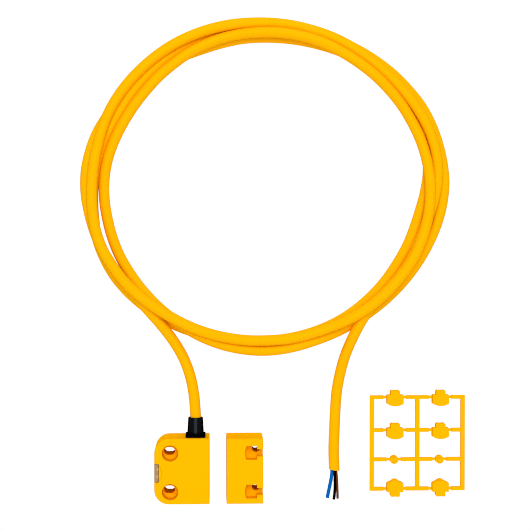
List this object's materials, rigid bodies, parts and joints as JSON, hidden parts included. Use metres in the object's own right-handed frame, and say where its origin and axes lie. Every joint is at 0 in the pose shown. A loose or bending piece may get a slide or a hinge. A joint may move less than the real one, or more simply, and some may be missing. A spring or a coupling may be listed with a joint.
{
  "type": "magnetic safety switch",
  "caption": "Magnetic guard switch: a sensor block with a strain relief and a coiled cable with bare cores, a magnet actuator block, and a moulded sprue of screw-hole caps.",
  "frame": {"origin": "middle of the sensor's mounting face, on the surface that everything lies on", "axes": "+Z out of the sensor's front face, +Y the way its cable leaves, +X from the sensor to the actuator"},
  "size_m": [0.1874, 0.234, 0.018],
  "materials": {
    "moulded_yellow": "moulded yellow, satin",
    "cover_yellow": "moulded yellow, matt",
    "cable_yellow": "extruded soft plastic jacket",
    "black_rubber": "moulded, satin",
    "window_clear": "cloudy clear moulding",
    "board_laminate": "solder resist",
    "reed_glass": "clear capsule",
    "lamp_resin": "tinted resin",
    "resistor_black": "glazed body",
    "carrier_white": "moulded",
    "magnet_nickel": "nickel plated",
    "core_blue": "extruded insulation",
    "core_black": "extruded insulation",
    "core_brown": "extruded insulation"
  },
  "bodies": {
    "root": {"sensor_housing": "moulded_yellow", "sensor_rear_cover": "cover_yellow", "indicator_window": "window_clear", "circuit_board": "board_laminate", "reed_switch_1": "reed_glass", "reed_switch_2": "reed_glass", "indicator_led_1": "lamp_resin", "indicator_led_2": "lamp_resin", "chip_resistor_1": "resistor_black", "chip_resistor_2": "resistor_black", "cable_boot": "black_rubber", "cable_lead": "cable_yellow", "cable_coil": "cable_yellow", "cable_tail": "cable_yellow", "core_blue": "core_blue", "core_black": "core_black", "core_brown": "core_brown", "inner_core_blue": "core_blue", "inner_core_black": "core_black", "inner_core_brown": "core_brown", "actuator_housing": "moulded_yellow", "actuator_rear_cover": "cover_yellow", "magnet_carrier": "carrier_white", "magnet_1": "magnet_nickel", "magnet_2": "magnet_nickel", "magnet_3": "magnet_nickel", "cap_sprue": "moulded_yellow"}
  },
  "joints": []
}
